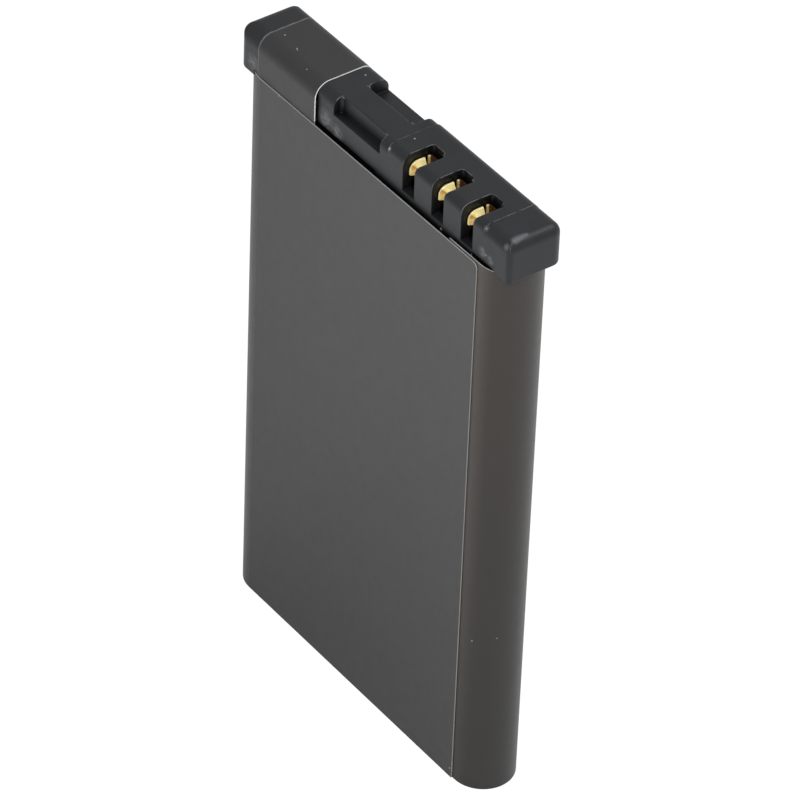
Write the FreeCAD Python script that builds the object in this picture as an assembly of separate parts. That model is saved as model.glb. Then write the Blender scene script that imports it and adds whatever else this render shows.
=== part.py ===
"""Slim phone battery: a flat sealed cell in a lapped film label, with contacts in a moulded cap.

Millimetres. +Z is up, the origin is the centre of the base, and the lapped front of the label faces -Y.
"""
import FreeCAD, Part
import os

V = FreeCAD.Vector

# Whole pack
pack_height = 55.5
pack_depth = 5.6
label_width = 34.0
ear_overhang = 0.26
cap_height = 3.35
head_room = 6.4

# Film label: one sheet round the cell, lapped on the front, with a strap over the cap
film = 0.10
glue = 0.02
label_bottom = 0.10
label_gap = 0.15
panel_drop = 0.14
panel_corner = 0.5
seam_inset = 0.3
lap_length = 3.6
strap_overhang = 0.55
strap_width = 7.55
strap_tuck = 2.6

# Cell and the two sheets that close the bottom
can_edge = 0.5
tape_thickness = 0.10
tape_margin = 0.7
plate_thickness = 0.40
plate_reach = 2.0
plate_end_width = 3.3

# Cap: outer form
corner_radius = 0.92
edge_radius = 0.9
strap_front_bend = 1.35
strap_rear_bend = 1.02
front_radius = 0.9
front_corner = 0.4
foot_radius = 0.12
left_rim_drop = 0.58
right_rim_drop = 0.28
rim_gap = 0.04
strap_lift = 0.45
body_inset = 0.42
ear_step = 0.03
block_inset = 3.16
block_width = 12.2
block_radius = 0.75

# Cap: guide rib between a front and a rear notch, and the gap under the body with an apron and a lip in it
strap_to_notch = 2.08
notch_to_block = 1.03
front_notch_corner = 0.3
rear_notch_corner = 0.5
front_notch_depth = 1.49
rear_notch_depth = 1.21
rib_setback = 0.78
rib_width = 2.35
rib_edge = 0.12
undercut_height = 1.1
undercut_depth = 0.25
apron_lead = 1.55
apron_width = 12.5
apron_drop = 0.95
lip_drop = 0.15

# Cap: skirt inside the label and the room for the circuit
skirt_gap = 0.03
skirt_wall = 0.6
board_ledge = 0.4
cavity_height = 2.0

# Contact slots
slot_count = 3
slot_inset = 1.95
slot_pitch = 3.7
slot_width = 1.5
slot_depth = 3.2
slot_length = 2.88
slot_corner = 0.3
slot_round = 0.45

# Folded contacts
contact_sheet = 0.14
contact_gap = 0.10
contact_clip_depth = 0.35
leaf_sink = 0.75
leaf_setback = 0.53
leaf_reach = 1.36
leaf_drop = 1.12
leaf_bulge = 0.25
leaf_lead = 0.48
leaf_return = 0.18
leaf_bend = 0.75
leaf_relief = 0.11
stem_width = 0.7

# Insulator and board
insulator_thickness = 0.20
insulator_edge = 0.29
window_margin = 0.20
board_thickness = 0.60
board_gap = 0.10

# Terminal, tabs and fuse stacked between the lid and the board
terminal_x = 0.0
gasket_thickness = 0.25
gasket_lip = 0.2
gasket_ring = 0.5
rivet_head = 0.30
rivet_fit = 0.02
tab_thickness = 0.15
tab_margin = 0.69
lead_overhang = 1.2
fuse_offset = 0.15
fuse_length = 3.0
fuse_thickness = 0.35
fuse_lead_length = 6.5
tab_inset = 0.7
tab_foot = 3.0
tab_reach = 2.6

# Board components: where each starts, as a share of the run from the flat's left end to the first slot
component_shares = {
    "switch_chip": 0.100,
    "protection_chip": 0.421,
    "sense_resistor": 0.632,
    "filter_capacitor": 0.753,
    "id_resistor": 0.864,
}
chip_side_gap = 0.19

# Room that a cutting block reaches past the face it cuts
margin = 1.0

# Faces of the pack and of the cell, through the thickness
front_face = -pack_depth / 2
rear_face = pack_depth / 2
lap_face = front_face + film + glue
cell_front = lap_face + film + glue
cell_rear = rear_face - film - glue
cell_depth = cell_rear - cell_front
cell_mid = (cell_rear + cell_front) / 2
left_end_radius = pack_depth / 2
right_end_radius = (rear_face - lap_face) / 2
right_end_mid = (rear_face + lap_face) / 2
body_front = front_face + body_inset
undercut_face = body_front + undercut_depth
rib_front = body_front + rib_setback
rib_rear = rib_front + rib_width
slot_rear = body_front + slot_length

skirt_depth = cell_depth - 2 * skirt_gap
pocket_depth = skirt_depth - 2 * skirt_wall
board_depth = pocket_depth - 2 * board_gap
cavity_depth = pocket_depth - 2 * board_ledge
tab_width = board_depth - 2 * tab_margin
gasket_radius = board_depth / 2 - insulator_edge - window_margin
rivet_head_radius = gasket_radius - gasket_lip
rivet_radius = gasket_radius - gasket_ring

# Length, depth and height of each board component
component_sizes = {
    "switch_chip": (4.4, cavity_depth - 2 * chip_side_gap, 0.95),
    "protection_chip": (2.9, 1.6, 1.10),
    "sense_resistor": (1.6, 0.8, 0.45),
    "filter_capacitor": (1.6, 0.8, 0.80),
    "id_resistor": (1.0, 0.5, 0.35),
}

# Places along the width
flat_end = (label_width - pack_depth) / 2
ear_end = label_width / 2 + ear_overhang
seam_x = flat_end - seam_inset
strap_left = -flat_end - strap_overhang
strap_right = strap_left + strap_width
shoulder_end = strap_right - strap_lift
block_right = ear_end - block_inset
block_left = block_right - block_width
notch_left = strap_right + strap_to_notch
notch_right = block_left - notch_to_block
apron_left = block_left - apron_lead
slot_first = block_left + slot_inset
tab_left = tab_inset - flat_end
fuse_left = slot_first + fuse_offset

# Levels
platform_top = pack_height - film - glue
ear_top = pack_height - ear_step
slot_bottom = pack_height - slot_depth
ear_bottom = pack_height - cap_height
label_top = ear_bottom - label_gap
panel_top = label_top - panel_drop
cell_bottom = plate_thickness + tape_thickness
cell_top = pack_height - head_room
gasket_top = cell_top + gasket_thickness
rivet_top = gasket_top + rivet_head
fuse_bottom = rivet_top + tab_thickness
fuse_top = fuse_bottom + fuse_thickness
board_bottom = fuse_top + tab_thickness
board_top = board_bottom + board_thickness
cavity_top = board_top + cavity_height


def box(x0, x1, y0, y1, z0, z1):
    return Part.makeBox(x1 - x0, y1 - y0, z1 - z0, V(x0, y0, z0))


def line(start, end):
    return Part.LineSegment(start, end).toShape()


def arc(start, middle, end):
    return Part.Arc(start, middle, end).toShape()


def face_of(edges):
    return Part.Face(Part.Wire(edges))


def polygon(points):
    return Part.Face(Part.makePolygon(points + points[:1]))


def stadium(depth, z0, z1):
    """Prism about the cell's middle, with two flat faces and two fully rounded narrow sides."""
    radius = depth / 2
    front = cell_mid - radius
    rear = cell_mid + radius
    outline = face_of([
        line(V(-flat_end, front, z0), V(flat_end, front, z0)),
        arc(V(flat_end, front, z0), V(flat_end + radius, cell_mid, z0), V(flat_end, rear, z0)),
        line(V(flat_end, rear, z0), V(-flat_end, rear, z0)),
        arc(V(-flat_end, rear, z0), V(-flat_end - radius, cell_mid, z0), V(-flat_end, front, z0)),
    ])
    return outline.extrude(V(0, 0, z1 - z0))


def arch(x0, x1, y0, y1, z0, z1, front_round, rear_round):
    """Prism along X whose two upper edges are rounded."""
    bend = 1 - 0.5 ** 0.5
    outline = face_of([
        line(V(x0, y0, z0), V(x0, y0, z1 - front_round)),
        arc(V(x0, y0, z1 - front_round),
            V(x0, y0 + bend * front_round, z1 - bend * front_round),
            V(x0, y0 + front_round, z1)),
        line(V(x0, y0 + front_round, z1), V(x0, y1 - rear_round, z1)),
        arc(V(x0, y1 - rear_round, z1),
            V(x0, y1 - bend * rear_round, z1 - bend * rear_round),
            V(x0, y1, z1 - rear_round)),
        line(V(x0, y1, z1 - rear_round), V(x0, y1, z0)),
        line(V(x0, y1, z0), V(x0, y0, z0)),
    ])
    return outline.extrude(V(x1 - x0, 0, 0))


def fillet(shape, radius, chosen):
    """Round the edges whose bounding box passes the test."""
    return shape.makeFillet(radius, [edge for edge in shape.Edges if chosen(edge.BoundBox)])


def is_upright(bounds):
    return bounds.ZLength > bounds.XLength + bounds.YLength


def bend_edges(shape, front, rear, top, front_round, rear_round):
    """Round the upper edges of a piece at the given front, rear and upper level."""
    room = arch(-ear_end - margin, ear_end + margin, front, rear, ear_bottom - margin, top,
                front_round, rear_round)
    return shape.common(room)


def label_wrap():
    """Film round the cell, its front panel lapped over its other end, and the strap over the cap."""
    left = -flat_end
    right = flat_end
    left_inner = left_end_radius - film
    right_inner = right_end_radius - film
    panel_inner = front_face + film
    lap_inner = lap_face + film
    rear_inner = rear_face - film
    lap_end = seam_x - lap_length
    z = label_bottom
    outline = face_of([
        line(V(seam_x, front_face, z), V(left, front_face, z)),
        arc(V(left, front_face, z), V(left - left_end_radius, 0, z), V(left, rear_face, z)),
        line(V(left, rear_face, z), V(right, rear_face, z)),
        arc(V(right, rear_face, z), V(right + right_end_radius, right_end_mid, z), V(right, lap_face, z)),
        line(V(right, lap_face, z), V(lap_end, lap_face, z)),
        line(V(lap_end, lap_face, z), V(lap_end, lap_inner, z)),
        line(V(lap_end, lap_inner, z), V(right, lap_inner, z)),
        arc(V(right, lap_inner, z), V(right + right_inner, right_end_mid, z), V(right, rear_inner, z)),
        line(V(right, rear_inner, z), V(left, rear_inner, z)),
        arc(V(left, rear_inner, z), V(left - left_inner, 0, z), V(left, panel_inner, z)),
        line(V(left, panel_inner, z), V(seam_x, panel_inner, z)),
        line(V(seam_x, panel_inner, z), V(seam_x, front_face, z)),
    ])
    wrap = outline.extrude(V(0, 0, label_top - label_bottom))

    outside = front_face - margin
    above = label_top + margin
    wrap = wrap.cut(box(-ear_end, left, outside, rear_face + margin, panel_top, above))

    panel_layer = panel_inner + glue / 2
    panel_end = seam_x + glue
    corner_x = seam_x - panel_corner
    corner_z = panel_top - panel_corner
    corner = box(corner_x, panel_end, outside, panel_layer, corner_z, panel_top)
    round_off = Part.makeCylinder(panel_corner, 2 * margin, V(corner_x, outside, corner_z), V(0, 1, 0))
    wrap = wrap.cut(box(left, panel_end, outside, panel_layer, panel_top, above))
    wrap = wrap.cut(corner.cut(round_off))

    strap_end = panel_top - strap_tuck
    strap = arch(strap_left, strap_right, lap_face, rear_face, strap_end, pack_height,
                 strap_front_bend, strap_rear_bend)
    strap = strap.cut(arch(strap_left, strap_right, lap_inner, rear_inner, strap_end, pack_height - film,
                           strap_front_bend - film, strap_rear_bend - film))
    strap = strap.cut(box(strap_left, strap_right, 0, rear_face + margin, strap_end, label_top))
    strap = strap.cut(box(strap_left, left, outside, 0, strap_end, panel_top + glue))
    return wrap.fuse(strap).removeSplitter()


def rim_room(inner_x, end_x, centre_y, radius):
    """Room for the label's end below the cap, so that an ear's rim only goes round its outside."""
    floor = ear_bottom - margin
    end = Part.makeCylinder(radius + rim_gap, margin, V(end_x, centre_y, floor))
    return end.fuse(box(min(inner_x, end_x), max(inner_x, end_x), front_face - margin, rear_face + margin,
                        floor, ear_bottom))


def cap_shoulder():
    """Left end of the cap, over which the label's strap is laid."""
    bottom = ear_bottom - left_rim_drop
    shape = box(-ear_end, shoulder_end, lap_face, rear_face, bottom, pack_height)
    shape = fillet(shape, corner_radius, lambda b: is_upright(b) and b.XMax < shoulder_end - margin)
    inner_end = shoulder_end - glue
    shape = fillet(shape, edge_radius, lambda b: b.ZMin > pack_height - glue and b.XMin < inner_end)
    shape = fillet(shape, foot_radius, lambda b: b.ZMax < bottom + glue and b.XMin < inner_end)
    shape = bend_edges(shape, lap_face, rear_face, pack_height, strap_front_bend, strap_rear_bend)
    return shape.cut(rim_room(shoulder_end + margin, -flat_end, 0, left_end_radius))


def notch(y0, y1, depth, corner_y, corner):
    shape = box(notch_left, notch_right, y0, y1, platform_top - depth, pack_height + margin)
    return fillet(shape, corner, lambda b: is_upright(b) and abs(b.YMin - corner_y) < glue)


def right_ear():
    """Right end of the cap, level with the block that it adjoins."""
    bottom = ear_bottom - right_rim_drop
    shape = box(block_left, ear_end, body_front, rear_face, bottom, ear_top)
    shape = fillet(shape, corner_radius, lambda b: is_upright(b) and b.XMin > block_right and b.YMin > 0)
    outer = block_left + glue
    shape = fillet(shape, edge_radius,
                   lambda b: b.ZMin > ear_top - glue and b.YMax > 0 and b.XMax > outer)
    shape = fillet(shape, foot_radius,
                   lambda b: b.ZMax < bottom + glue and b.YMax > 0 and b.XMax > outer)
    shape = bend_edges(shape, body_front, rear_face + 2 * margin, ear_top, front_radius, edge_radius)

    corner_x = ear_end - front_corner
    corner_y = body_front + front_corner
    corner = box(corner_x, ear_end, body_front, corner_y, bottom, ear_top)
    round_off = Part.makeCylinder(front_corner, pack_height, V(corner_x, corner_y, 0))
    shape = shape.cut(corner.cut(round_off))
    return shape.cut(rim_room(block_left - margin, flat_end, right_end_mid, right_end_radius))


def cap_body():
    """Platform with its guide rib, from the shoulder to the right ear."""
    left = shoulder_end - margin
    shape = arch(left, block_right, body_front, rear_face, ear_bottom, platform_top,
                 front_radius, edge_radius)
    shape = fillet(shape, foot_radius, lambda b: b.ZMax < ear_bottom + glue and b.YMin > 0)
    shape = shape.fuse(right_ear())
    outside = front_face - margin
    shape = shape.cut(notch(outside, rib_front, front_notch_depth, rib_front, front_notch_corner))
    shape = shape.cut(notch(rib_rear, rear_face + margin, rear_notch_depth, rib_rear, rear_notch_corner))
    crest = arch(notch_left, notch_right, rib_front, rib_rear, platform_top - margin, platform_top,
                 rib_edge, rib_edge)
    sharp = box(notch_left, notch_right, rib_front, rib_rear, platform_top - rib_edge, platform_top)
    return shape.cut(sharp.cut(crest))


def undercut():
    """Gap cut into the skirt under the body's front, less the apron and the lip that hang in it."""
    gap = box(shoulder_end, ear_end, front_face - margin, undercut_face,
              ear_bottom - undercut_height, ear_bottom)
    apron = box(apron_left, apron_left + apron_width, body_front, undercut_face,
                ear_bottom - apron_drop, ear_bottom)
    lip = box(shoulder_end, apron_left, body_front, undercut_face, ear_bottom - lip_drop, ear_bottom)
    return gap.cut(apron).cut(lip)


def slot_left(index):
    return slot_first + index * slot_pitch


def contact_slot(index):
    """Slot open to the front and the top, with its right upper edge rounded."""
    left = slot_left(index)
    right = left + slot_width
    outside = body_front - margin
    shape = box(left, right, outside, slot_rear, slot_bottom, pack_height + margin)
    shape = fillet(shape, slot_corner, lambda b: is_upright(b) and b.YMin > slot_rear - glue)
    round_x = right + slot_round
    round_z = pack_height - slot_round
    round_end = slot_rear - slot_corner
    edge = box(right - glue, round_x, outside, round_end, round_z, pack_height + margin)
    kept = Part.makeCylinder(slot_round, round_end - outside, V(round_x, outside, round_z), V(0, 1, 0))
    return shape.fuse(edge.cut(kept))


def top_cap():
    """Cap with a bed for the strap, the contact slots and, from below, room for the board."""
    shape = cap_shoulder().fuse(cap_body())
    block = arch(block_left, block_left + block_width, body_front, rear_face, slot_bottom, pack_height,
                 block_radius, edge_radius)
    skirt = stadium(skirt_depth, cell_top, ear_bottom).cut(undercut())
    shape = shape.fuse(block).fuse(skirt).removeSplitter()

    bed_left = strap_left - glue
    bed_right = strap_right + glue
    strap_bed = arch(bed_left, bed_right, cell_front, cell_rear, cell_top, platform_top,
                     strap_front_bend - film - glue, strap_rear_bend - film - glue)
    strap_room = box(bed_left, bed_right, lap_face - margin, rear_face + margin,
                     cell_top, pack_height + margin)
    shape = shape.cut(strap_room.cut(strap_bed))

    for index in range(slot_count):
        shape = shape.cut(contact_slot(index))
    shape = shape.cut(stadium(pocket_depth, cell_top - margin, board_top))
    return shape.cut(stadium(cavity_depth, board_top - margin, cavity_top))


def contact_leaf(left, front, top):
    """Flared lead-in of one tine: a strip along the slot's top, bent down its front."""
    inner = [(contact_sheet, 0), (contact_sheet + leaf_bulge, leaf_lead),
             (contact_sheet + leaf_bulge - leaf_relief, leaf_lead + leaf_return)]
    section = inner + [(x - contact_sheet, depth) for x, depth in reversed(inner)]
    bend_y = front + leaf_bend
    bend_z = top - leaf_bend
    upper = polygon([V(left + x, bend_y, top - depth) for x, depth in section])
    lower = polygon([V(left + x, front + depth, bend_z) for x, depth in section])
    bend = upper.revolve(V(left, bend_y, bend_z), V(1, 0, 0), 90)
    ahead = upper.extrude(V(0, leaf_reach - leaf_bend, 0))
    down = lower.extrude(V(0, 0, leaf_bend - leaf_drop))
    return bend.fuse(ahead).fuse(down)


def contact(index):
    """Fork contact folded from one sheet: foot on the board, clip at the rear and a tine on each side."""
    left = slot_left(index) + contact_gap
    right = slot_left(index) + slot_width - contact_gap
    middle = (left + right) / 2
    top = pack_height - leaf_sink
    front = body_front + leaf_setback
    rear = slot_rear - slot_corner
    leaf_depth = leaf_lead + leaf_return
    stem_front = front + leaf_depth
    stem_x = left + leaf_bulge - leaf_relief
    clip_front = rear - contact_clip_depth
    foot = box(left, right, stem_front, rear, board_top, board_top + contact_sheet)
    back = box(left, right, rear - contact_sheet, rear, board_top, top)
    side = box(left, left + contact_sheet, clip_front, rear, board_top, top)
    stem = box(stem_x, stem_x + contact_sheet, stem_front, stem_front + stem_width,
               board_top, top - leaf_depth)
    tine = contact_leaf(left, front, top).fuse(stem).fuse(side)
    other = tine.mirror(V(middle, 0, 0), V(1, 0, 0))
    return foot.fuse(back).fuse(tine).fuse(other).removeSplitter()


def cell_can():
    shape = stadium(cell_depth, cell_bottom, cell_top)
    return fillet(shape, can_edge, lambda b: b.ZMax < cell_bottom + glue)


def bottom_tape():
    return stadium(cell_depth - 2 * tape_margin, plate_thickness, cell_bottom)


def bottom_plate():
    """Flat plate with bevelled ends, on which the pack stands."""
    end_x = flat_end + plate_reach
    end_front = cell_mid - plate_end_width / 2
    end_rear = cell_mid + plate_end_width / 2
    outline = polygon([
        V(-flat_end, cell_front, 0),
        V(flat_end, cell_front, 0),
        V(end_x, end_front, 0),
        V(end_x, end_rear, 0),
        V(flat_end, cell_rear, 0),
        V(-flat_end, cell_rear, 0),
        V(-end_x, end_rear, 0),
        V(-end_x, end_front, 0),
    ])
    return outline.extrude(V(0, 0, plate_thickness))


def terminal_gasket():
    ring = Part.makeCylinder(gasket_radius, gasket_thickness, V(terminal_x, cell_mid, cell_top))
    hole = Part.makeCylinder(rivet_radius + rivet_fit, gasket_thickness, V(terminal_x, cell_mid, cell_top))
    return ring.cut(hole)


def terminal_rivet():
    shank = Part.makeCylinder(rivet_radius, gasket_thickness, V(terminal_x, cell_mid, cell_top))
    head = Part.makeCylinder(rivet_head_radius, rivet_head, V(terminal_x, cell_mid, gasket_top))
    return shank.fuse(head)


def insulator_strip():
    shape = stadium(board_depth, cell_top, cell_top + insulator_thickness)
    hole = Part.makeCylinder(gasket_radius + window_margin, margin, V(terminal_x, cell_mid, cell_top))
    window = box(tab_left - window_margin, tab_left + tab_foot + window_margin,
                 cell_mid - tab_width / 2 - window_margin, cell_mid + tab_width / 2 + window_margin,
                 cell_top, cell_top + margin)
    return shape.cut(hole).cut(window)


def strip(x0, x1, z0, z1):
    return box(x0, x1, cell_mid - tab_width / 2, cell_mid + tab_width / 2, z0, z1)


def positive_tab():
    """Stepped nickel strip from the lid to the underside of the board."""
    foot_end = tab_left + tab_foot
    foot = strip(tab_left, foot_end, cell_top, cell_top + tab_thickness)
    riser = strip(foot_end - tab_thickness, foot_end, cell_top, board_bottom)
    pad = strip(foot_end - tab_thickness, foot_end + tab_reach, board_bottom - tab_thickness, board_bottom)
    return foot.fuse(riser).fuse(pad).removeSplitter()


def negative_lead():
    return strip(terminal_x - lead_overhang, fuse_left + fuse_length, rivet_top, fuse_bottom)


def thermal_fuse():
    return strip(fuse_left, fuse_left + fuse_length, fuse_bottom, fuse_top)


def fuse_lead():
    return strip(fuse_left, fuse_left + fuse_lead_length, fuse_top, board_bottom)


def circuit_board():
    return stadium(board_depth, board_bottom, board_top)


def component(name):
    length, depth, height = component_sizes[name]
    left = component_shares[name] * (slot_first + flat_end) - flat_end
    front = cell_mid - depth / 2
    return box(left, left + length, front, front + depth, board_top, board_top + height)


def main():
    pieces = {
        "label_wrap": label_wrap(),
        "top_cap": top_cap(),
        "cell_can": cell_can(),
        "bottom_tape": bottom_tape(),
        "bottom_plate": bottom_plate(),
        "terminal_gasket": terminal_gasket(),
        "terminal_rivet": terminal_rivet(),
        "insulator_strip": insulator_strip(),
        "positive_tab": positive_tab(),
        "negative_lead": negative_lead(),
        "thermal_fuse": thermal_fuse(),
        "fuse_lead": fuse_lead(),
        "circuit_board": circuit_board(),
    }
    for index, place in enumerate(("left", "middle", "right")):
        pieces["contact_" + place] = contact(index)
    for name in component_sizes:
        pieces[name] = component(name)

    os.makedirs("parts", exist_ok=True)
    for name, shape in pieces.items():
        shape.exportStep("parts/" + name + ".step")


main()
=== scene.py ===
import math

import bpy
from mathutils import Matrix, Vector


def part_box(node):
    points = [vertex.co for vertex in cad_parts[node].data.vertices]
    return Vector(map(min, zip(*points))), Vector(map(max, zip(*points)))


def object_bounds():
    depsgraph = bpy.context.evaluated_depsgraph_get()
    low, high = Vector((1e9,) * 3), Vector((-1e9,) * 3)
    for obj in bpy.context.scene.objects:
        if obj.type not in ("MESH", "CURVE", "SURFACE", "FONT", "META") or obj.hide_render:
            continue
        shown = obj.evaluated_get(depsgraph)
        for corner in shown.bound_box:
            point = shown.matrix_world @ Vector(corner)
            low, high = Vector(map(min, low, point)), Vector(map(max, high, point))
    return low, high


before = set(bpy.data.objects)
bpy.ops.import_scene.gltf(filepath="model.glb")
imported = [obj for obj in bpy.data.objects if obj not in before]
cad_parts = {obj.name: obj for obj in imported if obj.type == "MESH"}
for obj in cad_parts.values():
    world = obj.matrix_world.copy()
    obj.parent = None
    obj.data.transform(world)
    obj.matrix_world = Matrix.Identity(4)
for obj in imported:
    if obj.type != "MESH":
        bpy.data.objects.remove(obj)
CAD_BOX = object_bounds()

bl_info = {
    "name": "Phone battery finishes",
    "version": (1, 0, 0),
    "blender": (4, 5, 0),
    "location": "View3D > Sidebar > Battery",
    "description": "Dresses a flat phone battery and stands it on a plain studio floor",
    "category": "Object",
}

MM = 0.001
MICRON = 1e-6

# Node inputs and outputs that share a name, by their place
MIX_FACTOR, MIX_FIRST, MIX_SECOND, MIX_COLOUR = 0, 6, 7, 2
NOISE_VALUE = 0

# Samples for a softened edge and for a hollow
EDGE_SAMPLES = 16
HOLLOW_SAMPLES = 8

# Spans over which a cloudy pattern fades from one look to the next
SOFT_SPAN = (0.35, 0.65)
WIDE_SPAN = (0.3, 0.7)

# Tone of painted shade deep in a hollow, as a share of the surface's own
SHADE_TONE = 0.1

# Places on the label, from its box: the strap alone is above panel_level, the top edges of the
# wrap are below strap_level, the strap's left rim is left of strap_side, the ends turn round past
# bend_start, and the lapped end shows past seam_place
label_low, label_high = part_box("label_wrap")
panel_level = label_high.z - 3.4 * MM
strap_level = label_high.z - 2.0 * MM
strap_side = label_low.x + 2.34 * MM
bend_start = label_high.x - 2.05 * MM
seam_place = label_high.x - 3.02 * MM

# The cap's top, and the front of a contact's back
cap_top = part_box("top_cap")[1].z
contact_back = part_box("contact_left")[1].y - 0.16 * MM

# Share of a mark's radius over which it is at its strongest
SPECK_CORE = 0.6
GLINT_CORE = 0.15
SMEAR_CORE = 0.2

# Single specks, painted glints on corners and the ear's edge, and smears, each as a place and a
# radius in millimetres
FILM_SPECKS = (
    ((-13.85, -0.79, 55.50), 0.07),
    ((-11.90, -1.05, 55.50), 0.06),
    ((-11.72, -1.12, 55.50), 0.06),
    ((-9.39, -1.88, 55.35), 0.06),
    ((-12.89, -2.80, 52.03), 0.07),
    ((-11.68, -2.80, 51.81), 0.06),
    ((13.67, -2.80, 0.96), 0.08),
    ((15.27, -2.46, 15.40), 0.07),
    ((16.67, -1.10, 16.02), 0.05),
)
# Dust specks, except the two at the block's corners, which are painted glints
CAP_SPECKS_AND_GLINTS = (
    ((-6.30, 1.43, 55.38), 0.09),
    ((2.50, -0.33, 55.50), 0.09),
    ((12.23, -2.38, 52.47), 0.13),
    ((12.71, -2.38, 51.84), 0.10),
    ((8.86, -2.38, 51.83), 0.12),
    ((14.45, -2.38, 52.93), 0.08),
    ((1.98, -2.32, 55.05), 0.14),
    ((14.12, -2.18, 55.13), 0.07),
)
CAP_GLINTS = (
    ((1.98, -2.32, 55.05), 0.28),
    ((14.12, -2.18, 55.13), 0.30),
    ((16.67, -2.24, 55.05), 0.36),
    ((16.70, -1.49, 55.40), 0.40),
    ((16.66, -1.26, 55.41), 0.38),
    ((16.63, -1.03, 55.42), 0.35),
    ((16.62, -0.80, 55.43), 0.31),
    ((16.62, -0.58, 55.43), 0.27),
    ((16.62, -0.38, 55.43), 0.22),
)
CAP_SMEARS = (
    ((14.00, -2.38, 52.95), 0.60),
    ((14.97, -2.38, 52.77), 0.50),
    ((-6.07, -2.38, 52.85), 1.10),
    ((-4.60, -2.38, 52.47), 0.90),
    ((-15.37, -2.68, 52.76), 0.90),
)


def colour(name, description, default):
    return bpy.props.FloatVectorProperty(
        name=name, description=description, default=default, size=3, min=0, max=1, subtype="COLOR")


def share(name, description, default):
    return bpy.props.FloatProperty(
        name=name, description=description, default=default, min=0, max=1, subtype="FACTOR")


def length(name, description, default):
    return bpy.props.FloatProperty(
        name=name, description=description, default=default, min=0, precision=6, subtype="DISTANCE",
        unit="LENGTH")


def place(name, description, default):
    return bpy.props.FloatVectorProperty(
        name=name, description=description, default=default, size=3, precision=4,
        subtype="TRANSLATION", unit="LENGTH")


def turn(name, description, degrees):
    return bpy.props.FloatProperty(
        name=name, description=description, default=math.radians(degrees), subtype="ANGLE",
        unit="ROTATION")


def brightness(name, description, default):
    return bpy.props.FloatProperty(name=name, description=description, default=default, min=0)


def wattage(name, description, default):
    return bpy.props.FloatProperty(
        name=name, description=description, default=default, min=0, subtype="POWER", unit="POWER")


class BatteryLabelSettings(bpy.types.PropertyGroup):
    """Film label."""
    film: colour("Film", "Satin grey of the film", (0.016, 0.016, 0.016))
    lapped: colour("Lapped end", "Warmer grey of the film beside the seam", (0.044, 0.032, 0.024))
    # Painted shade: the lapped film darkens round the bend
    shaded_bend: colour("Lapped bend", "Warmer grey of the film round the bend", (0.014, 0.009, 0.005))
    core: colour("Cut edge", "Core that shows where the film is cut", (0.28, 0.28, 0.27))
    # Also mixed in faintly as a painted highlight along the strap's left rim
    strap_core: colour("Strap edge", "Paler core along the strap's sides", (0.80, 0.80, 0.78))
    dust: colour("Dust", "Pale specks on the film", (0.32, 0.33, 0.33))
    roughness: share("Roughness", "How far the film scatters light", 0.46)
    # The weaker sheen at the foot is painted shade
    sheen: share("Sheen", "Strength of the film's reflections at the top", 0.56)
    foot_sheen: share("Sheen at the foot", "Strength of the film's reflections at the foot", 0.36)
    grain: length("Grain", "Size of the film's fine grain", 0.14 * MM)
    grain_height: length("Grain height", "Height of the fine grain", 0.4 * MICRON)
    ripple: length("Ripple", "Size of the slow ripples over the cell", 7 * MM)
    ripple_height: length("Ripple height", "Height of the slow ripples", 2 * MICRON)


class BatteryCapSettings(bpy.types.PropertyGroup):
    """Moulded cap and bottom plate."""
    plastic: colour("Plastic", "Near-black of the moulding", (0.0115, 0.0123, 0.0140))
    # Also the colour of the painted highlights on the top edges and corners
    worn_and_lit: colour("Worn edge", "Grey of rubbed edges", (0.14, 0.145, 0.155))
    # Also the colour of two painted glints at the block's corners
    dust: colour("Dust", "Pale specks on the moulding", (0.24, 0.245, 0.25))
    roughness: share("Roughness", "How far the moulding scatters light", 0.42)
    gloss: share("Gloss", "Strength of the moulding's reflections", 0.27)
    texture: length("Mould texture", "Size of the mould's fine texture", 0.10 * MM)
    texture_height: length("Texture height", "Height of the fine texture", 1.2 * MICRON)
    edge: length("Edge round", "Rounding of the edges", 0.08 * MM)
    # Reach of the painted shade in hollows
    shade_reach: length("Recess", "Reach over which hollows darken", 2.0 * MM)


class BatteryContactSettings(bpy.types.PropertyGroup):
    """Gold contacts."""
    gold: colour("Gold", "Plating", (0.96, 0.70, 0.27))
    # Painted highlight on faces that look up or forwards
    polished_and_lit: colour("Polished gold", "Plating where the phone's blades rub it", (1.0, 0.87, 0.42))
    # Also painted shade on faces tilted a little up
    dull_and_shaded: colour("Dull gold", "Plating where it has dulled", (0.50, 0.29, 0.07))
    # Painted shade deep in a slot and at the back
    deep: colour("Deep gold", "Plating deep inside a slot", (0.05, 0.016, 0.005))
    # Reach of the painted shade inside a slot
    shade_reach: length("Recess", "Reach over which the inside of a slot darkens", 1.0 * MM)
    roughness: share("Roughness", "How far the plating scatters light", 0.30)
    metal: share("Metal", "How far the plating reflects like bare metal", 0.42)
    edge: length("Edge round", "Rounding of the sheet's edges", 0.04 * MM)


class BatteryInsideSettings(bpy.types.PropertyGroup):
    """Pieces inside the label and the cap."""
    aluminium: colour("Can", "Drawn aluminium of the cell", (0.72, 0.73, 0.74))
    tape: colour("Tape", "Adhesive sheet under the cell", (0.80, 0.80, 0.78))
    gasket: colour("Gasket", "Natural plastic round the terminal", (0.78, 0.77, 0.73))
    nickel: colour("Nickel", "Rivet, tab and leads", (0.66, 0.64, 0.60))
    fibre: colour("Insulator", "Pressed fibre strip", (0.42, 0.50, 0.36))
    mask: colour("Board", "Solder mask of the board", (0.03, 0.16, 0.07))
    copper: colour("Tracks", "Board where copper lies under the mask", (0.04, 0.20, 0.09))
    resin: colour("Chips", "Moulded resin of the chips and resistors", (0.025, 0.025, 0.027))
    ceramic: colour("Capacitor", "Fired ceramic", (0.45, 0.32, 0.20))
    fuse: colour("Fuse", "Polymer of the thermal fuse", (0.06, 0.12, 0.20))


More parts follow.
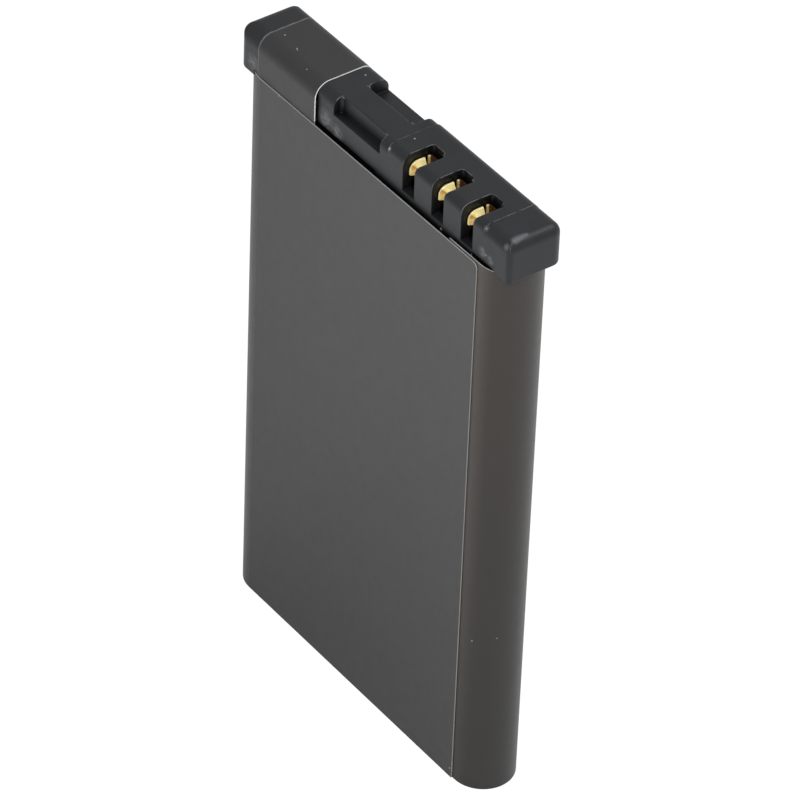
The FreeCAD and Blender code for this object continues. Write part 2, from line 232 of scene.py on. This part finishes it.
class BatteryStageSettings(bpy.types.PropertyGroup):
    """Floor, light and camera."""
    floor: colour("Floor", "Pale floor", (0.86, 0.86, 0.86))
    floor_size: length("Floor size", "Side of the floor", 6.0)
    backdrop: brightness("Backdrop", "Brightness of the floor as the camera sees it", 1.05)
    sky: brightness("Sky", "Brightness of the even light all round", 0.62)
    key_place: place("Key light", "Place of the large soft light", (0.19, 0.38, 0.69))
    key_size: length("Key size", "Side of the large soft light", 0.32)
    key_power: wattage("Key power", "Power of the large soft light", 1.9)
    front_place: place("Front light", "Place of the small light above the camera",
                       (0.34, -0.34, 0.62))
    front_size: length("Front size", "Side of the small light", 0.15)
    front_power: wattage("Front power", "Power of the small light", 4.2)
    camera: place("Camera", "Place of the camera", (0.308993, -0.235993, 0.342765))
    azimuth: turn("Azimuth", "Turn of the camera about the upright axis", 52.4883)
    elevation: turn("Elevation", "Angle at which the camera looks down", 38.9671)
    roll: turn("Roll", "Turn of the camera about its own line of sight", 2.3565)
    focal: bpy.props.FloatProperty(
        name="Focal length", description="Focal length of the camera", default=286.559, min=1,
        unit="CAMERA")


class Finish:
    """One finish: a shader, and the nodes that vary it over a piece in that piece's own metres."""

    def __init__(self, name, roughness, metallic=0.0):
        self.material = bpy.data.materials.new(name)
        self.material.use_nodes = True
        self.tree = self.material.node_tree
        self.shader = self.tree.nodes["Principled BSDF"]
        self.set("Roughness", roughness)
        self.set("Metallic", metallic)
        self.place = self.node("ShaderNodeTexCoord").outputs["Object"]
        self.geometry = self.node("ShaderNodeNewGeometry")

    def feed(self, socket, value):
        if isinstance(value, bpy.types.NodeSocket):
            self.tree.links.new(value, socket)
        else:
            socket.default_value = value

    def node(self, kind, inputs=None, **settings):
        node = self.tree.nodes.new(kind)
        for name, value in settings.items():
            setattr(node, name, value)
        for name, value in (inputs or {}).items():
            self.feed(node.inputs[name], value)
        return node

    def set(self, name, value):
        self.feed(self.shader.inputs[name], value)

    def math(self, operation, first, second=0.0):
        node = self.node("ShaderNodeMath", {0: first, 1: second}, operation=operation)
        return node.outputs[0]

    def both(self, first, second):
        return self.math("MULTIPLY", first, second)

    def either(self, first, second):
        return self.math("MAXIMUM", first, second)

    def above(self, value, limit):
        return self.math("GREATER_THAN", value, limit)

    def below(self, value, limit):
        return self.math("LESS_THAN", value, limit)

    def axes(self, vector):
        return self.node("ShaderNodeSeparateXYZ", {0: vector}).outputs

    def fade(self, value, low, high, to_low=0.0, to_high=1.0):
        node = self.node("ShaderNodeMapRange", {
            "Value": value, "From Min": low, "From Max": high, "To Min": to_low, "To Max": to_high})
        return node.outputs["Result"]

    def mix(self, factor, first, second):
        node = self.node("ShaderNodeMix", data_type="RGBA")
        self.feed(node.inputs[MIX_FACTOR], factor)
        for index, value in ((MIX_FIRST, first), (MIX_SECOND, second)):
            is_link = isinstance(value, bpy.types.NodeSocket)
            self.feed(node.inputs[index], value if is_link else (*value, 1.0))
        return node.outputs[MIX_COLOUR]

    def noise(self, size, stretch=(1.0, 1.0, 1.0), detail=3.0):
        """Cloudy pattern of about the given size, longer on the axes where stretch is large."""
        scale = [1.0 / (size * factor) for factor in stretch]
        mapped = self.node("ShaderNodeMapping", {"Vector": self.place, "Scale": scale}).outputs[0]
        node = self.node("ShaderNodeTexNoise", {"Vector": mapped, "Scale": 1.0, "Detail": detail})
        return node.outputs[NOISE_VALUE]

    def spots(self, spots, core):
        """Mask of single spots that fade from the given share of their radius outwards."""
        mask = 0.0
        for middle, radius in spots:
            ends = {0: self.place, 1: [part * MM for part in middle]}
            apart = self.node("ShaderNodeVectorMath", ends, operation="DISTANCE").outputs["Value"]
            mask = self.either(mask, self.fade(apart, radius * MM, core * radius * MM))
        return mask

    def uneven(self, pattern, roughness, spread):
        """Roughness that the pattern raises and lowers by the given spread."""
        self.set("Roughness",
                 self.fade(pattern, *WIDE_SPAN, roughness - spread, roughness + spread))

    def rounded(self, radius):
        return self.node("ShaderNodeBevel", {"Radius": radius}, samples=EDGE_SAMPLES).outputs[0]

    def shelter(self, reach, inside=False):
        """How open the surface is within the given reach, on its outside or on its inside."""
        node = self.node("ShaderNodeAmbientOcclusion", {"Distance": reach},
                         samples=HOLLOW_SAMPLES, inside=inside, only_local=inside)
        return node.outputs["AO"]

    def relief(self, height, distance, normal=None):
        node = self.node("ShaderNodeBump",
                         {"Height": height, "Distance": distance, "Strength": 1.0})
        if normal is not None:
            self.feed(node.inputs["Normal"], normal)
        return node.outputs[0]

    def dress(self, *names):
        for name in names:
            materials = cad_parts[name].data.materials
            materials.clear()
            materials.append(self.material)


def toned(base, factor):
    return [factor * part for part in base]


# Film: the sizes of its clouds and gloss patches, how squarely a face looks along an axis where it
# is a cut edge, the depths between which the lapped end turns warm and its sheen drops as painted
# shade, and how much its tone and sheen change; the rim share is a painted highlight
FILM_CLOUDS = 5 * MM
FILM_PATCHES = 0.8 * MM
CUT_FACING = 0.5
WARM_DEPTHS = (1.5 * MM, -1.0 * MM)
DULL_DEPTHS = (2.7 * MM, 0.5 * MM)
BEND_FADE = 1.6 * MM
FOOT_LEVEL = 5 * MM
FOOT_WARMTH = 0.2
FILM_CLOUD_TONE = 1.08
RIM_HIGHLIGHT_SHARE = 0.10
SHEEN_SLANT = (-0.05, 0.07)
SHEEN_LOSS = 0.11


def satin_film(settings):
    """Grey film, warmer at the lapped end with painted shade round the bend, pale where cut, and
    with a painted highlight on the strap's rim.
    """
    finish = Finish("satin grey film", settings.roughness)
    x, y, z = finish.axes(finish.place)
    normal = finish.axes(finish.geometry.outputs["True Normal"])
    facing_up = finish.above(finish.math("ABSOLUTE", normal["Z"]), CUT_FACING)
    facing_along = finish.above(finish.math("ABSOLUTE", normal["X"]), CUT_FACING)
    between_bends = finish.below(finish.math("ABSOLUTE", x), bend_start)
    cut = finish.either(finish.both(facing_up, finish.below(z, strap_level)),
                        finish.both(facing_along, between_bends))
    above_panel = finish.above(z, panel_level)
    core = finish.mix(above_panel, settings.core, settings.strap_core)

    clouds = finish.fade(finish.noise(FILM_CLOUDS), *SOFT_SPAN)
    film = finish.mix(clouds, settings.film, toned(settings.film, FILM_CLOUD_TONE))
    past_seam = finish.above(x, seam_place)
    warmth = finish.both(past_seam, finish.fade(z, 0.0, strap_level, FOOT_WARMTH, 1.0))
    warmth = finish.both(warmth, finish.fade(y, *WARM_DEPTHS))
    # Painted shade: past the seam the warm grey darkens round the bend
    bend_shade = finish.fade(x, seam_place, seam_place + BEND_FADE)
    film = finish.mix(warmth, film, finish.mix(bend_shade, settings.lapped, settings.shaded_bend))
    # Painted highlight: a faint pale band along the strap's left rim
    rim_highlight = finish.both(above_panel, finish.below(x, strap_side))
    film = finish.mix(finish.both(rim_highlight, RIM_HIGHLIGHT_SHARE), film, settings.strap_core)
    film = finish.mix(finish.spots(FILM_SPECKS, SPECK_CORE), film, settings.dust)
    finish.set("Base Color", finish.mix(cut, film, core))

    # Painted shade in the sheen: weaker towards the foot, the left, the lapped side and the strap,
    # stronger to the right
    sheen = finish.fade(z, FOOT_LEVEL, panel_level, settings.foot_sheen, settings.sheen)
    sheen = finish.math("ADD", sheen, finish.fade(x, -bend_start, bend_start, *SHEEN_SLANT))
    lapped_side = finish.both(past_seam, finish.fade(y, *DULL_DEPTHS))
    painted_dimming = finish.both(finish.either(lapped_side, above_panel), SHEEN_LOSS)
    finish.set("Specular IOR Level", finish.math("SUBTRACT", sheen, painted_dimming))
    finish.uneven(finish.noise(FILM_PATCHES), settings.roughness, spread=0.02)
    slow = finish.relief(finish.noise(settings.ripple, detail=1.0), settings.ripple_height)
    finish.set("Normal", finish.relief(finish.noise(settings.grain), settings.grain_height, slow))
    return finish


# Cap: the size and tone of its clouds, how open a hollow is where painted shade darkens it and a
# ridge where a painted highlight lightens it, how far below the top that highlight ends and is
# full, and the patches and streaks in it and in the smears
CAP_CLOUDS = 2.2 * MM
CAP_CLOUD_TONE = 1.2
CAP_SHADE_SPAN = (0.35, 0.80)
RIDGE_SPAN = (0.90, 0.55)
HIGHLIGHT_END, HIGHLIGHT_FULL = 1.1 * MM, 0.4 * MM
CAP_PATCHES = 0.6 * MM
PATCH_SPAN = (0.40, 0.60)
CAP_STREAKS = 0.3 * MM
STREAK_SPAN = (0.25, 0.80)
GLINT_STRENGTH = 0.52


def satin_moulding(settings):
    """Near-black plastic with a fine mould texture, painted shade in hollows, painted highlights on
    edges and corners, smears and a few specks.
    """
    finish = Finish("near-black moulding", settings.roughness)
    finish.set("Specular IOR Level", settings.gloss)
    clouds = finish.fade(finish.noise(CAP_CLOUDS), *SOFT_SPAN)
    plastic = finish.mix(clouds, settings.plastic, toned(settings.plastic, CAP_CLOUD_TONE))
    # Painted shade: the plastic darkens in hollows
    unshaded = finish.fade(finish.shelter(settings.shade_reach), *CAP_SHADE_SPAN)
    plastic = finish.mix(unshaded, toned(settings.plastic, SHADE_TONE), plastic)

    patches = finish.noise(CAP_PATCHES)
    z = finish.axes(finish.place)[2]
    near_top = finish.fade(z, cap_top - HIGHLIGHT_END, cap_top - HIGHLIGHT_FULL)
    # Painted highlights: pale convex edges near the top, in patches, and pale glints on corners and
    # along the ear's top edge
    lit_ridges = finish.fade(finish.shelter(settings.edge, inside=True), *RIDGE_SPAN)
    lit_ridges = finish.both(finish.both(lit_ridges, near_top), finish.fade(patches, *PATCH_SPAN))
    streaks = finish.noise(CAP_STREAKS, stretch=(1.5, 1.0, 1.0), detail=1.0)
    smears = finish.both(finish.spots(CAP_SMEARS, SMEAR_CORE), finish.fade(streaks, *STREAK_SPAN))
    glints = finish.both(finish.spots(CAP_GLINTS, GLINT_CORE), GLINT_STRENGTH)
    wear_and_highlights = finish.either(lit_ridges, finish.either(smears, glints))
    plastic = finish.mix(wear_and_highlights, plastic, settings.worn_and_lit)
    # Dust specks, two of them painted glints at corners
    specks = finish.spots(CAP_SPECKS_AND_GLINTS, SPECK_CORE)
    finish.set("Base Color", finish.mix(specks, plastic, settings.dust))

    finish.uneven(patches, settings.roughness, spread=0.02)
    texture = finish.noise(settings.texture, detail=2.0)
    edges = finish.rounded(settings.edge)
    finish.set("Normal", finish.relief(texture, settings.texture_height, edges))
    return finish


# Contacts: the darker patches, how far a face looks up where the plating takes painted shade and
# where a painted highlight, how far forwards a front with a painted highlight looks, how open a
# slot is where painted shade darkens it, and the fine marks of rolling
GOLD_PATCHES = 0.5 * MM
DULL_SPAN = (0.5, 0.9)
SHADE_RISE = (0.05, 0.25)
LIT_RISE = (0.30, 0.40)
LIT_FRONT = -0.7
SLOT_SHADE_SPAN = (0.2, 0.6)
MARK_SIZE = 0.08 * MM
MARK_HEIGHT = 0.8 * MICRON


def gold_plating(settings):
    """Gold with painted highlights on faces that look up or forwards, painted shade on faces tilted
    a little up, deep in the slot and at the back, and darker in random patches.
    """
    finish = Finish("gold plating", settings.roughness, settings.metal)
    patches = finish.noise(GOLD_PATCHES)
    normal = finish.axes(finish.geometry.outputs["True Normal"])
    # Painted shade on faces tilted a little up, and darker random patches
    dulled_and_shaded = finish.either(finish.fade(normal["Z"], *SHADE_RISE), finish.fade(patches, *DULL_SPAN))
    plating = finish.mix(dulled_and_shaded, settings.gold, settings.dull_and_shaded)
    # Painted highlight on faces that look up or forwards
    rubbed_and_lit = finish.either(finish.fade(normal["Z"], *LIT_RISE),
                           finish.below(normal["Y"], LIT_FRONT))
    plating = finish.mix(rubbed_and_lit, plating, settings.polished_and_lit)
    # Painted shade: the plating darkens deep in the slot and all over behind contact_back
    unshaded = finish.fade(finish.shelter(settings.shade_reach), *SLOT_SHADE_SPAN)
    at_back = finish.above(finish.axes(finish.place)[1], contact_back)
    unshaded = finish.math("SUBTRACT", unshaded, at_back)
    finish.set("Base Color", finish.mix(unshaded, settings.deep, plating))
    finish.uneven(patches, settings.roughness, spread=0.06)
    marks = finish.noise(MARK_SIZE, stretch=(1.0, 4.0, 4.0))
    finish.set("Normal", finish.relief(marks, MARK_HEIGHT, finish.rounded(settings.edge)))
    return finish


# Tone of the darker patches of a mottled finish, as a share of its own
MOTTLE_TONE = 0.8


def mottled(name, base, roughness, size, height, metallic=0.0, stretch=(1.0, 1.0, 1.0)):
    """Plain finish with mottled tone, uneven gloss and a fine relief of the given size."""
    finish = Finish(name, roughness, metallic)
    pattern = finish.noise(size, stretch)
    tone = finish.fade(pattern, *WIDE_SPAN)
    finish.set("Base Color", finish.mix(tone, toned(base, MOTTLE_TONE), base))
    finish.uneven(pattern, roughness, spread=0.06)
    finish.set("Normal", finish.relief(pattern, height))
    return finish


# Board: the size of its tracks, where the pattern rises to one, and how open the board is where
# painted shade darkens it
TRACK_SIZE = 0.9 * MM
TRACK_LEVEL = 0.52
TRACK_HEIGHT = 20 * MICRON
BOARD_REACH = 4 * MM
BOARD_SHADE_SPAN = (0.5, 1.0)


def solder_mask(settings):
    """Green board with painted shade where the cap closes over it, whose covered copper tracks
    stand out a little paler.
    """
    finish = Finish("solder mask", roughness=0.3)
    runs = finish.noise(TRACK_SIZE, stretch=(4.0, 1.0, 1.0), detail=0.0)
    tracks = finish.above(runs, TRACK_LEVEL)
    board = finish.mix(tracks, settings.mask, settings.copper)
    # Painted shade: the board darkens where it is closed in
    unshaded = finish.fade(finish.shelter(BOARD_REACH), *BOARD_SHADE_SPAN)
    finish.set("Base Color", finish.mix(unshaded, toned(settings.mask, SHADE_TONE), board))
    finish.set("Normal", finish.relief(tracks, TRACK_HEIGHT))
    return finish


class BATTERY_OT_dress_label(bpy.types.Operator):
    """Give the film label its satin grey and its pale cut edges"""
    bl_idname = "battery.dress_label"
    bl_label = "Dress label"

    def execute(self, context):
        satin_film(context.scene.battery_label).dress("label_wrap")
        return {"FINISHED"}


class BATTERY_OT_dress_cap(bpy.types.Operator):
    """Give the moulded cap and the bottom plate their near-black plastic"""
    bl_idname = "battery.dress_cap"
    bl_label = "Dress cap"

    def execute(self, context):
        satin_moulding(context.scene.battery_cap).dress("top_cap", "bottom_plate")
        return {"FINISHED"}


class BATTERY_OT_dress_contacts(bpy.types.Operator):
    """Plate the three fork contacts"""
    bl_idname = "battery.dress_contacts"
    bl_label = "Dress contacts"

    def execute(self, context):
        gold_plating(context.scene.battery_contacts).dress(
            "contact_left", "contact_middle", "contact_right")
        return {"FINISHED"}


class BATTERY_OT_dress_cell(bpy.types.Operator):
    """Finish the drawn can of the cell and the tape under it"""
    bl_idname = "battery.dress_cell"
    bl_label = "Dress cell"

    def execute(self, context):
        inside = context.scene.battery_inside
        mottled("drawn aluminium", inside.aluminium, roughness=0.35, size=0.3 * MM,
                height=2 * MICRON, metallic=1.0, stretch=(1.0, 1.0, 12.0)).dress("cell_can")
        mottled("adhesive sheet", inside.tape, roughness=0.7, size=0.5 * MM,
                height=4 * MICRON).dress("bottom_tape")
        return {"FINISHED"}


class BATTERY_OT_dress_conductors(bpy.types.Operator):
    """Finish the nickel rivet, tab and leads"""
    bl_idname = "battery.dress_conductors"
    bl_label = "Dress conductors"

    def execute(self, context):
        nickel = context.scene.battery_inside.nickel
        mottled("rolled nickel", nickel, roughness=0.32, size=0.1 * MM, height=1 * MICRON,
                metallic=1.0, stretch=(10.0, 1.0, 1.0)).dress(
            "terminal_rivet", "positive_tab", "negative_lead", "fuse_lead")
        return {"FINISHED"}


class BATTERY_OT_dress_insulation(bpy.types.Operator):
    """Finish the gasket, the insulator strip and the thermal fuse"""
    bl_idname = "battery.dress_insulation"
    bl_label = "Dress insulation"

    def execute(self, context):
        inside = context.scene.battery_inside
        mottled("natural plastic", inside.gasket, roughness=0.5, size=0.4 * MM,
                height=2 * MICRON).dress("terminal_gasket")
        mottled("pressed fibre", inside.fibre, roughness=0.8, size=0.15 * MM,
                height=12 * MICRON).dress("insulator_strip")
        mottled("fuse polymer", inside.fuse, roughness=0.55, size=0.3 * MM,
                height=3 * MICRON).dress("thermal_fuse")
        return {"FINISHED"}


class BATTERY_OT_dress_circuit(bpy.types.Operator):
    """Finish the circuit board and the parts on it"""
    bl_idname = "battery.dress_circuit"
    bl_label = "Dress circuit"

    def execute(self, context):
        inside = context.scene.battery_inside
        solder_mask(inside).dress("circuit_board")
        mottled("chip resin", inside.resin, roughness=0.6, size=0.08 * MM,
                height=3 * MICRON).dress(
            "switch_chip", "protection_chip", "sense_resistor", "id_resistor")
        mottled("fired ceramic", inside.ceramic, roughness=0.5, size=0.12 * MM,
                height=2 * MICRON).dress("filter_capacitor")
        return {"FINISHED"}


def studio_floor(settings):
    """Pale floor that the camera sees evenly lit, and that shades softly round the pack."""
    half = settings.floor_size / 2
    mesh = bpy.data.meshes.new("studio_floor")
    corners = [(-half, -half, 0), (half, -half, 0), (half, half, 0), (-half, half, 0)]
    mesh.from_pydata(corners, [], [(0, 1, 2, 3)])
    floor = bpy.data.objects.new("studio_floor", mesh)
    bpy.context.scene.collection.objects.link(floor)

    material = bpy.data.materials.new("studio floor")
    material.use_nodes = True
    tree = material.node_tree
    tree.nodes.clear()
    shade = tree.nodes.new("ShaderNodeBsdfDiffuse")
    shade.inputs["Color"].default_value = (*settings.floor, 1.0)
    glow = tree.nodes.new("ShaderNodeEmission")
    glow.inputs["Strength"].default_value = settings.backdrop
    seen = tree.nodes.new("ShaderNodeLightPath")
    choice = tree.nodes.new("ShaderNodeMixShader")
    output = tree.nodes.new("ShaderNodeOutputMaterial")
    tree.links.new(seen.outputs["Is Camera Ray"], choice.inputs[0])
    tree.links.new(shade.outputs[0], choice.inputs[1])
    tree.links.new(glow.outputs[0], choice.inputs[2])
    tree.links.new(choice.outputs[0], output.inputs["Surface"])
    mesh.materials.append(material)


def even_sky(settings):
    world = bpy.context.scene.world or bpy.data.worlds.new("even sky")
    bpy.context.scene.world = world
    world.use_nodes = True
    sky = world.node_tree.nodes["Background"]
    sky.inputs["Color"].default_value = (1.0, 1.0, 1.0, 1.0)
    sky.inputs["Strength"].default_value = settings.sky


def soft_light(name, location, size, power):
    """Square light aimed at the middle of the pack."""
    light = bpy.data.lights.new(name, "AREA")
    light.size = size
    light.energy = power
    lamp = bpy.data.objects.new(name, light)
    lamp.location = location
    middle = (Vector(CAD_BOX[0]) + Vector(CAD_BOX[1])) / 2
    lamp.rotation_euler = (middle - Vector(location)).to_track_quat("-Z", "Y").to_euler()
    bpy.context.scene.collection.objects.link(lamp)


def still_camera(settings):
    data = bpy.data.cameras.new("still_camera")
    data.lens = settings.focal
    camera = bpy.data.objects.new("still_camera", data)
    aim = (Matrix.Rotation(settings.azimuth, 3, "Z")
           @ Matrix.Rotation(math.pi / 2 - settings.elevation, 3, "X")
           @ Matrix.Rotation(settings.roll, 3, "Z"))
    camera.matrix_world = Matrix.Translation(settings.camera) @ aim.to_4x4()
    bpy.context.scene.collection.objects.link(camera)
    bpy.context.scene.camera = camera


class BATTERY_OT_set_stage(bpy.types.Operator):
    """Set the floor, the light and the camera"""
    bl_idname = "battery.set_stage"
    bl_label = "Set stage"

    def execute(self, context):
        settings = context.scene.battery_stage
        studio_floor(settings)
        even_sky(settings)
        soft_light("key_light", settings.key_place, settings.key_size, settings.key_power)
        soft_light("front_light", settings.front_place, settings.front_size, settings.front_power)
        still_camera(settings)
        context.scene.view_settings.view_transform = "Standard"
        return {"FINISHED"}


STEPS = (
    BATTERY_OT_dress_label,
    BATTERY_OT_dress_cap,
    BATTERY_OT_dress_contacts,
    BATTERY_OT_dress_cell,
    BATTERY_OT_dress_conductors,
    BATTERY_OT_dress_insulation,
    BATTERY_OT_dress_circuit,
    BATTERY_OT_set_stage,
)

SETTINGS = {
    "battery_label": BatteryLabelSettings,
    "battery_cap": BatteryCapSettings,
    "battery_contacts": BatteryContactSettings,
    "battery_inside": BatteryInsideSettings,
    "battery_stage": BatteryStageSettings,
}


class BATTERY_PT_finishes(bpy.types.Panel):
    """Settings and steps of the battery"""
    bl_idname = "BATTERY_PT_finishes"
    bl_label = "Phone battery"
    bl_space_type = "VIEW_3D"
    bl_region_type = "UI"
    bl_category = "Battery"

    def draw(self, context):
        layout = self.layout
        for name, group in SETTINGS.items():
            column = layout.box().column()
            column.label(text=group.__doc__)
            for setting in group.__annotations__:
                column.prop(getattr(context.scene, name), setting)
        for step in STEPS:
            layout.operator(step.bl_idname)


CLASSES = (*SETTINGS.values(), *STEPS, BATTERY_PT_finishes)


def register():
    for item in CLASSES:
        bpy.utils.register_class(item)
    for name, group in SETTINGS.items():
        setattr(bpy.types.Scene, name, bpy.props.PointerProperty(type=group))


def unregister():
    for name in SETTINGS:
        delattr(bpy.types.Scene, name)
    for item in reversed(CLASSES):
        bpy.utils.unregister_class(item)


def main():
    register()
    bpy.ops.battery.dress_label()
    bpy.ops.battery.dress_cap()
    bpy.ops.battery.dress_contacts()
    bpy.ops.battery.dress_cell()
    bpy.ops.battery.dress_conductors()
    bpy.ops.battery.dress_insulation()
    bpy.ops.battery.dress_circuit()
    bpy.ops.battery.set_stage()


if __name__ == "__main__":
    main()
